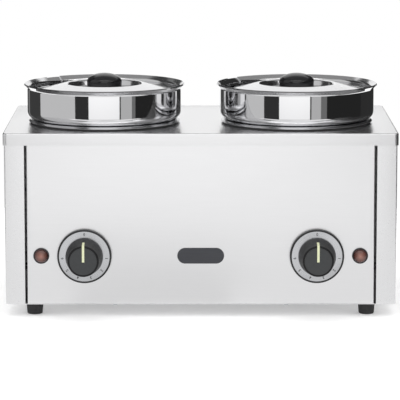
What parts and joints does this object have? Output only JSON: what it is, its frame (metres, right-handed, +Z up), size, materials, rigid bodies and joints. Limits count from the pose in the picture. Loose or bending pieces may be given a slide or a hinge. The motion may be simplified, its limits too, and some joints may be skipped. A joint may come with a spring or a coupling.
{
  "type": "bain marie",
  "caption": "Counter-top twin-pot bain marie: steel casing on rubber feet, round lift-out pots with notched lids and domed knobs, front thermostat dials and lamps.",
  "frame": {"origin": "centre of the bounding box at the table under the feet", "axes": "+X to the right seen from the front, +Y towards the back, +Z up; the dials face -Y"},
  "size_m": [0.505, 0.3624, 0.3027],
  "materials": {
    "satin_steel": "satin stainless sheet",
    "drawn_steel": "bright deep-drawn stainless",
    "polished_steel": "mirror-polished stainless",
    "zinc_steel": "zinc plated",
    "black_rubber": "moulded",
    "silicone": "moulded silicone",
    "aluminium_plate": "mill finish",
    "scale_aluminium": "brushed and printed",
    "element_sheath": "annealed sheath",
    "switch_resin": "moulded resin",
    "copper_tube": "bare copper",
    "black_plastic": "moulded",
    "black_bakelite": "polished phenolic",
    "pointer_paint": "pale inlay",
    "red_lens": "translucent amber red",
    "dark_badge": "bare plate",
    "gland_nylon": "moulded nylon",
    "terminal_resin": "moulded",
    "brass_stud": "bare",
    "wire_jacket": "heat-proof silicone jacket"
  },
  "bodies": {
    "casing": {"top_plate": "satin_steel", "left_side_panel": "satin_steel", "right_side_panel": "satin_steel", "front_panel": "satin_steel", "back_panel": "satin_steel", "base_plate": "satin_steel", "front_left_foot": "black_rubber", "front_right_foot": "black_rubber", "back_left_foot": "black_rubber", "back_right_foot": "black_rubber", "water_well_left": "drawn_steel", "water_well_right": "drawn_steel", "well_seal_left": "silicone", "well_seal_right": "silicone", "heater_plate_left": "aluminium_plate", "heater_plate_right": "aluminium_plate", "heater_element_left": "element_sheath", "heater_element_right": "element_sheath", "heater_straps": "zinc_steel", "bulb_clips": "zinc_steel", "heater_nuts": "zinc_steel", "foot_nuts": "zinc_steel", "lamp_nuts": "zinc_steel", "base_screws": "zinc_steel", "foot_screws": "zinc_steel", "thermostat_screws": "zinc_steel", "dry_boil_cutout_left": "switch_resin", "dry_boil_cutout_right": "switch_resin", "thermostat_left": "switch_resin", "thermostat_right": "switch_resin", "sensor_left": "copper_tube", "sensor_right": "copper_tube", "dial_bezel_left": "black_plastic", "dial_bezel_right": "black_plastic", "lamp_body_left": "black_plastic", "lamp_body_right": "black_plastic", "scale_ring_left": "scale_aluminium", "scale_ring_right": "scale_aluminium", "lamp_lens_left": "red_lens", "lamp_lens_right": "red_lens", "badge": "dark_badge", "cable_gland": "gland_nylon", "gland_locknut": "gland_nylon", "terminal_block": "terminal_resin", "earth_stud": "brass_stud", "wiring": "wire_jacket"},
    "left_pot": {"pot_left": "polished_steel"},
    "left_lid": {"lid_left": "polished_steel", "lid_knob_left": "black_bakelite", "lid_screw_left": "zinc_steel"},
    "left_knob": {"knob_left": "black_bakelite", "pointer_left": "pointer_paint", "thermostat_shaft_left": "zinc_steel"},
    "right_pot": {"pot_right": "polished_steel"},
    "right_lid": {"lid_right": "polished_steel", "lid_knob_right": "black_bakelite", "lid_screw_right": "zinc_steel"},
    "right_knob": {"knob_right": "black_bakelite", "pointer_right": "pointer_paint", "thermostat_shaft_right": "zinc_steel"}
  },
  "joints": [
    {"name": "left_pot_lift", "type": "slide", "parent": "casing", "child": "left_pot", "axis": [0, 0, 1], "range_m": [0, 0.18]},
    {"name": "left_lid_lift", "type": "slide", "parent": "left_pot", "child": "left_lid", "axis": [0, 0, 1], "range_m": [0, 0.08]},
    {"name": "right_pot_lift", "type": "slide", "parent": "casing", "child": "right_pot", "axis": [0, 0, 1], "range_m": [0, 0.18]},
    {"name": "right_lid_lift", "type": "slide", "parent": "right_pot", "child": "right_lid", "axis": [0, 0, 1], "range_m": [0, 0.08]},
    {"name": "left_knob_turn", "type": "hinge", "parent": "casing", "child": "left_knob", "pos_m": [-0.149, -0.13765, 0.0797], "axis": [0, 1, 0], "range_deg": [0, 265]},
    {"name": "right_knob_turn", "type": "hinge", "parent": "casing", "child": "right_knob", "pos_m": [0.149, -0.13765, 0.0797], "axis": [0, 1, 0], "range_deg": [0, 265]}
  ]
}
